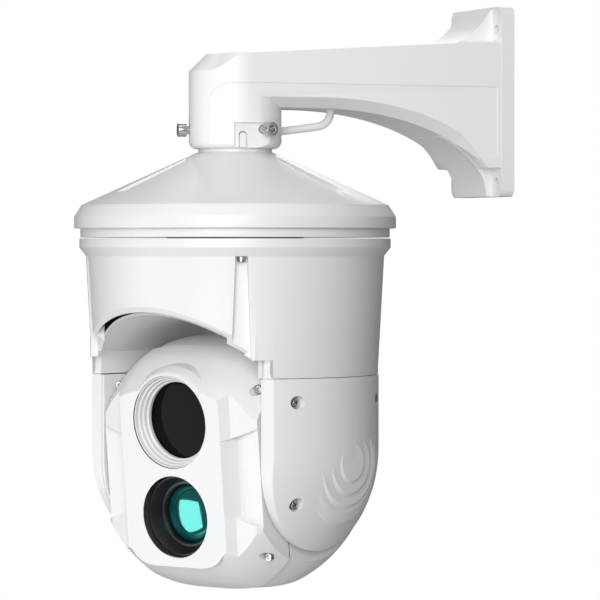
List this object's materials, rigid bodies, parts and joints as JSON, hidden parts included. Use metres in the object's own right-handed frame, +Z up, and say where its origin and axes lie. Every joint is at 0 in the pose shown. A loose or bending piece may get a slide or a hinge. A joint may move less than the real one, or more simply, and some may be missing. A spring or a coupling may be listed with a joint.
{
  "type": "ptz camera",
  "caption": "Wall-hung outdoor pan-tilt camera: cast bracket, conical sunshield, turning dome housing and a tilting head with a visible and a thermal lens.",
  "frame": {"origin": "centre line of the wall flange on its back face, on the mount wall_face", "axes": "+Y into the wall, the arm and the camera hang out along -Y, +Z up"},
  "size_m": [0.3054, 0.4242, 0.5546],
  "materials": {
    "white_paint": "gloss white powder coat",
    "bracket_paint": "satin white powder coat on a casting",
    "stainless": "turned stainless steel",
    "bearing_steel": "ground steel",
    "machined_alloy": "machined",
    "dark_plastic": "fine moulded grain",
    "black_anodised": "matt black anodised",
    "window_glass": "polished dark window",
    "coated_germanium": "polished, blue-green anti-reflection coating",
    "circuit_board": "solder resist",
    "gear_plastic": "moulded acetal",
    "seal_rubber": "matt"
  },
  "bodies": {
    "bracket": {"wall_bracket": "bracket_paint", "bracket_screw_1": "stainless", "bracket_screw_2": "stainless", "bracket_screw_3": "stainless", "neck_adapter": "white_paint", "sunshield_cap": "white_paint", "base_ring": "white_paint", "pan_bearing_inner": "bearing_steel", "pan_ring_gear": "bearing_steel", "slip_ring_stator": "dark_plastic"},
    "pan_body": {"arm_shell_left": "white_paint", "arm_shell_right": "white_paint", "cavity_liner": "white_paint", "housing_screw_1": "stainless", "housing_screw_2": "stainless", "housing_screw_3": "stainless", "housing_screw_4": "stainless", "main_board": "circuit_board", "pan_bearing_outer": "bearing_steel", "pan_motor": "dark_plastic", "side_cover_left": "white_paint", "side_cover_right": "white_paint", "side_screw_1": "stainless", "side_screw_2": "stainless", "side_screw_3": "stainless", "side_screw_4": "stainless", "side_screw_5": "stainless", "side_screw_6": "stainless", "side_screw_7": "stainless", "side_screw_8": "stainless", "slip_ring_rotor": "dark_plastic", "tilt_bearing_left": "bearing_steel", "tilt_bearing_right": "bearing_steel", "tilt_motor": "dark_plastic", "upper_housing": "white_paint", "yoke_frame": "machined_alloy"},
    "tilt_head": {"front_cover": "white_paint", "rear_shell": "white_paint", "head_gasket": "seal_rubber", "cover_screw_1": "stainless", "cover_screw_2": "stainless", "cover_screw_3": "stainless", "cover_screw_4": "stainless", "window_trim": "white_paint", "visible_window": "window_glass", "zoom_camera": "black_anodised", "thermal_barrel": "black_anodised", "thermal_lens": "coated_germanium", "thermal_core": "black_anodised", "head_frame": "machined_alloy", "tilt_shaft_left": "bearing_steel", "tilt_shaft_right": "bearing_steel", "tilt_gear": "bearing_steel"},
    "pan_pinion": {"pan_pinion": "gear_plastic"},
    "tilt_pinion": {"tilt_pinion": "gear_plastic"}
  },
  "joints": [
    {"name": "pan", "type": "hinge", "parent": "bracket", "child": "pan_body", "pos_m": [0, -0.2715, -0.343], "axis": [0, 0, 1], "continuous": true},
    {"name": "tilt", "type": "hinge", "parent": "pan_body", "child": "tilt_head", "pos_m": [0, -0.2715, -0.343], "axis": [0.8829, 0.4695, 0], "range_deg": [-20.5, 84.5]},
    {"name": "pan_pinion_spin", "type": "hinge", "parent": "pan_body", "child": "pan_pinion", "pos_m": [-0.02535, -0.22382, -0.1513], "axis": [0, 0, 1], "continuous": true},
    {"name": "tilt_pinion_spin", "type": "hinge", "parent": "pan_body", "child": "tilt_pinion", "pos_m": [-0.09668, -0.32291, -0.3025], "axis": [0.8829, 0.4695, 0], "range_deg": [-250, 70]}
  ],
  "couplings": [
    {"joint": "pan_pinion_spin", "follows": "pan", "ratio": 4.1429},
    {"joint": "tilt_pinion_spin", "follows": "tilt", "ratio": -2.8571}
  ]
}
